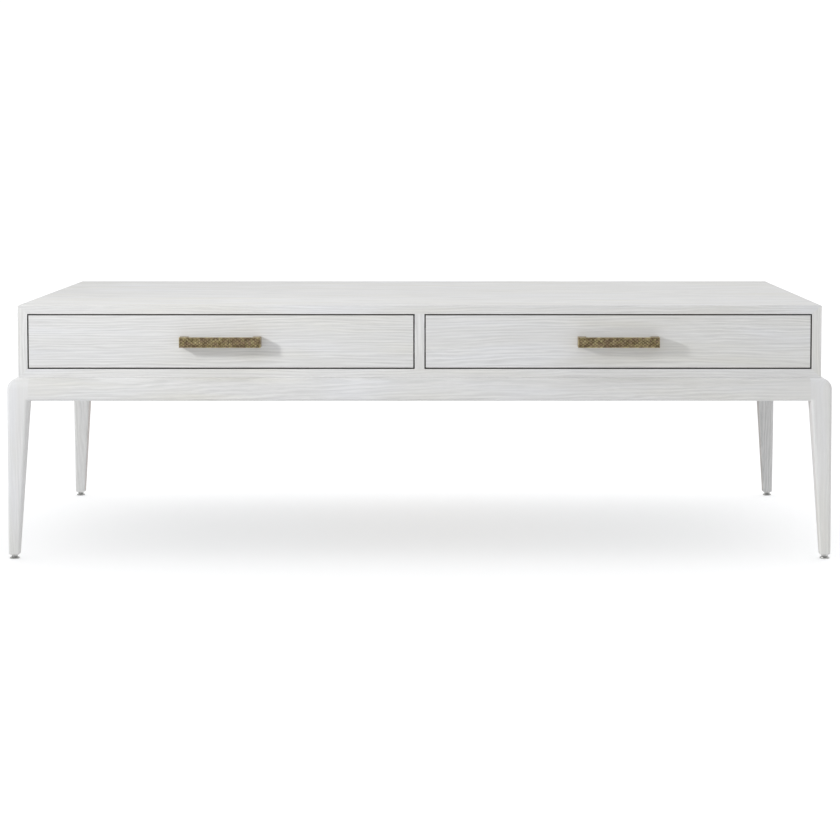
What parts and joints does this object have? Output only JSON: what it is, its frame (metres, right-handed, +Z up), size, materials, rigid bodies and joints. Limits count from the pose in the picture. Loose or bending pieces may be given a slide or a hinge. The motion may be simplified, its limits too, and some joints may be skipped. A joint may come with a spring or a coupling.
{
  "type": "cocktail table",
  "caption": "Low rectangular cocktail table: shallow case with side-by-side inset drawers on a base of rounded aprons and tapered legs with levelling glides.",
  "frame": {"origin": "on the floor, at the bottom centre of the table's bounding box, pulls included", "axes": "+X to the right along the length, +Z up, the drawers open towards -Y"},
  "size_m": [1.524, 0.772, 0.47],
  "materials": {
    "cerused_oak": "white-washed open-grain oak, matt",
    "drawer_box_maple": "clear satin lacquer on pale maple",
    "drawer_bottom_plywood": "clear satin lacquer on birch plywood",
    "frame_hardwood": "sanded, sealed",
    "antique_brass": "antique, cross-hatched, worn highlights",
    "zinc_plated_slide_steel": "zinc plated",
    "screw_steel": "zinc plated",
    "glide_nickel": "satin nickel plate"
  },
  "bodies": {
    "table": {"base_corner_blocks": "frame_hardwood", "base_cross_rail": "frame_hardwood", "base_front_apron": "cerused_oak", "base_left_apron": "cerused_oak", "base_rear_apron": "cerused_oak", "base_right_apron": "cerused_oak", "case_back_panel": "cerused_oak", "case_bottom_panel": "cerused_oak", "case_center_divider": "cerused_oak", "case_fixing_screws": "screw_steel", "case_left_side": "cerused_oak", "case_right_side": "cerused_oak", "case_slide_screws": "screw_steel", "case_top_panel": "cerused_oak", "front_left_leg": "cerused_oak", "front_right_leg": "cerused_oak", "glide_inserts": "screw_steel", "left_drawer_left_slide_outer_member": "zinc_plated_slide_steel", "left_drawer_right_slide_outer_member": "zinc_plated_slide_steel", "rear_left_leg": "cerused_oak", "rear_right_leg": "cerused_oak", "right_drawer_left_slide_outer_member": "zinc_plated_slide_steel", "right_drawer_right_slide_outer_member": "zinc_plated_slide_steel"},
    "left_drawer": {"left_drawer_box_back": "drawer_box_maple", "left_drawer_box_bottom": "drawer_bottom_plywood", "left_drawer_box_front": "drawer_box_maple", "left_drawer_box_left_side": "drawer_box_maple", "left_drawer_box_right_side": "drawer_box_maple", "left_drawer_front": "cerused_oak", "left_drawer_front_screws": "screw_steel", "left_drawer_left_slide_inner_member": "zinc_plated_slide_steel", "left_drawer_pull": "antique_brass", "left_drawer_pull_screws": "screw_steel", "left_drawer_right_slide_inner_member": "zinc_plated_slide_steel", "left_drawer_slide_runner_screws": "screw_steel"},
    "left_slide_middles": {"left_drawer_left_slide_middle_member": "zinc_plated_slide_steel", "left_drawer_right_slide_middle_member": "zinc_plated_slide_steel"},
    "left_outer_cages": {"left_drawer_slide_outer_ball_cages": "zinc_plated_slide_steel"},
    "left_inner_cages": {"left_drawer_slide_inner_ball_cages": "zinc_plated_slide_steel"},
    "right_drawer": {"right_drawer_box_back": "drawer_box_maple", "right_drawer_box_bottom": "drawer_bottom_plywood", "right_drawer_box_front": "drawer_box_maple", "right_drawer_box_left_side": "drawer_box_maple", "right_drawer_box_right_side": "drawer_box_maple", "right_drawer_front": "cerused_oak", "right_drawer_front_screws": "screw_steel", "right_drawer_left_slide_inner_member": "zinc_plated_slide_steel", "right_drawer_pull": "antique_brass", "right_drawer_pull_screws": "screw_steel", "right_drawer_right_slide_inner_member": "zinc_plated_slide_steel", "right_drawer_slide_runner_screws": "screw_steel"},
    "right_slide_middles": {"right_drawer_left_slide_middle_member": "zinc_plated_slide_steel", "right_drawer_right_slide_middle_member": "zinc_plated_slide_steel"},
    "right_outer_cages": {"right_drawer_slide_outer_ball_cages": "zinc_plated_slide_steel"},
    "right_inner_cages": {"right_drawer_slide_inner_ball_cages": "zinc_plated_slide_steel"},
    "front_left_glide": {"front_left_glide": "glide_nickel"},
    "front_right_glide": {"front_right_glide": "glide_nickel"},
    "rear_left_glide": {"rear_left_glide": "glide_nickel"},
    "rear_right_glide": {"rear_right_glide": "glide_nickel"}
  },
  "joints": [
    {"name": "left_drawer_slide", "type": "slide", "parent": "table", "child": "left_drawer", "axis": [0, -1, 0], "range_m": [0, 0.54]},
    {"name": "left_slide_middles_slide", "type": "slide", "parent": "table", "child": "left_slide_middles", "axis": [0, -1, 0], "range_m": [0, 0.27]},
    {"name": "left_outer_cages_slide", "type": "slide", "parent": "table", "child": "left_outer_cages", "axis": [0, -1, 0], "range_m": [0, 0.135]},
    {"name": "left_inner_cages_slide", "type": "slide", "parent": "table", "child": "left_inner_cages", "axis": [0, -1, 0], "range_m": [0, 0.405]},
    {"name": "right_drawer_slide", "type": "slide", "parent": "table", "child": "right_drawer", "axis": [0, -1, 0], "range_m": [0, 0.54]},
    {"name": "right_slide_middles_slide", "type": "slide", "parent": "table", "child": "right_slide_middles", "axis": [0, -1, 0], "range_m": [0, 0.27]},
    {"name": "right_outer_cages_slide", "type": "slide", "parent": "table", "child": "right_outer_cages", "axis": [0, -1, 0], "range_m": [0, 0.135]},
    {"name": "right_inner_cages_slide", "type": "slide", "parent": "table", "child": "right_inner_cages", "axis": [0, -1, 0], "range_m": [0, 0.405]},
    {"name": "front_left_glide_height", "type": "slide", "parent": "table", "child": "front_left_glide", "axis": [0, 0, -1], "range_m": [0, 0.01]},
    {"name": "front_right_glide_height", "type": "slide", "parent": "table", "child": "front_right_glide", "axis": [0, 0, -1], "range_m": [0, 0.01]},
    {"name": "rear_left_glide_height", "type": "slide", "parent": "table", "child": "rear_left_glide", "axis": [0, 0, -1], "range_m": [0, 0.01]},
    {"name": "rear_right_glide_height", "type": "slide", "parent": "table", "child": "rear_right_glide", "axis": [0, 0, -1], "range_m": [0, 0.01]}
  ],
  "couplings": [
    {"joint": "left_slide_middles_slide", "follows": "left_drawer_slide", "ratio": 0.5},
    {"joint": "left_outer_cages_slide", "follows": "left_drawer_slide", "ratio": 0.25},
    {"joint": "left_inner_cages_slide", "follows": "left_drawer_slide", "ratio": 0.75},
    {"joint": "right_slide_middles_slide", "follows": "right_drawer_slide", "ratio": 0.5},
    {"joint": "right_outer_cages_slide", "follows": "right_drawer_slide", "ratio": 0.25},
    {"joint": "right_inner_cages_slide", "follows": "right_drawer_slide", "ratio": 0.75}
  ]
}
